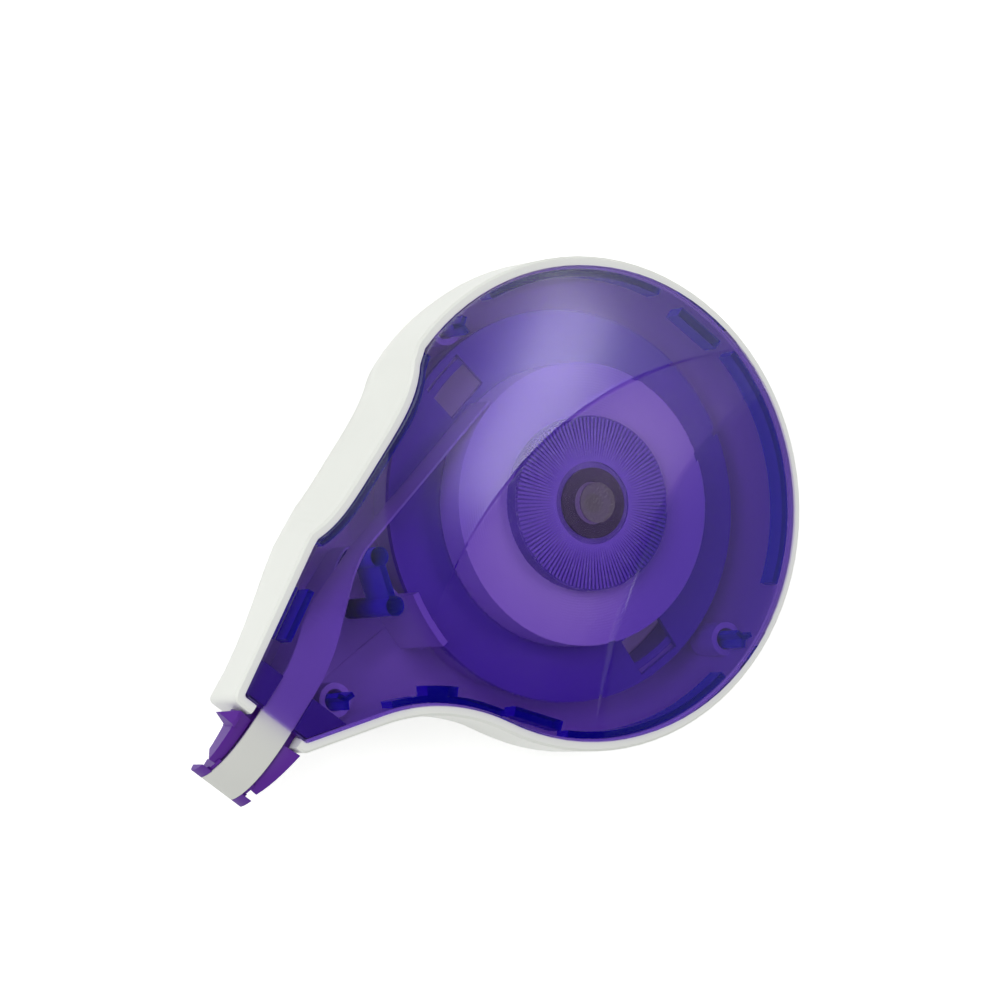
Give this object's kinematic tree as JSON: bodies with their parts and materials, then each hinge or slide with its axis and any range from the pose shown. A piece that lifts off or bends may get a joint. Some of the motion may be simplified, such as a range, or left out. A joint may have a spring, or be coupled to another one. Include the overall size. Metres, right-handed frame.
{
  "type": "correction tape dispenser",
  "caption": "Hand-held correction tape: a white tub with a domed clear purple cover, coaxial supply and take-up reels, and a narrow tape head on a neck.",
  "frame": {"origin": "on the reel axle at the flat back face", "axes": "+X from the tape head towards the round body, +Z out of the clear cover along the axle, +Y towards the wall with the finger rest"},
  "size_m": [0.0912, 0.0644, 0.0176],
  "materials": {
    "white_shell": "satin moulded white",
    "clear_purple": "clear tinted, glossy with a matte thumb channel",
    "purple_head": "semi-gloss",
    "violet_reel": "semi-gloss",
    "white_tape": "matte coated tape",
    "used_film": "glossy carrier film",
    "black_rubber": "matte rubber"
  },
  "bodies": {
    "case": {"back_shell": "white_shell", "front_cover": "clear_purple", "tape_head": "purple_head", "feed_tape": "white_tape", "tip_tape": "white_tape", "return_film": "used_film"},
    "supply": {"supply_core": "violet_reel", "supply_roll": "white_tape", "brake_ring": "black_rubber"},
    "takeup": {"takeup_reel": "violet_reel", "takeup_film": "used_film", "clutch_ring": "black_rubber"}
  },
  "joints": [
    {"name": "supply_spin", "type": "hinge", "parent": "case", "child": "supply", "pos_m": [0, 0, 0.0104], "axis": [0, 0, 1], "continuous": true},
    {"name": "takeup_spin", "type": "hinge", "parent": "case", "child": "takeup", "pos_m": [0, 0, 0.0043], "axis": [0, 0, 1], "continuous": true}
  ],
  "couplings": [
    {"joint": "takeup_spin", "follows": "supply_spin", "ratio": 0.74}
  ]
}
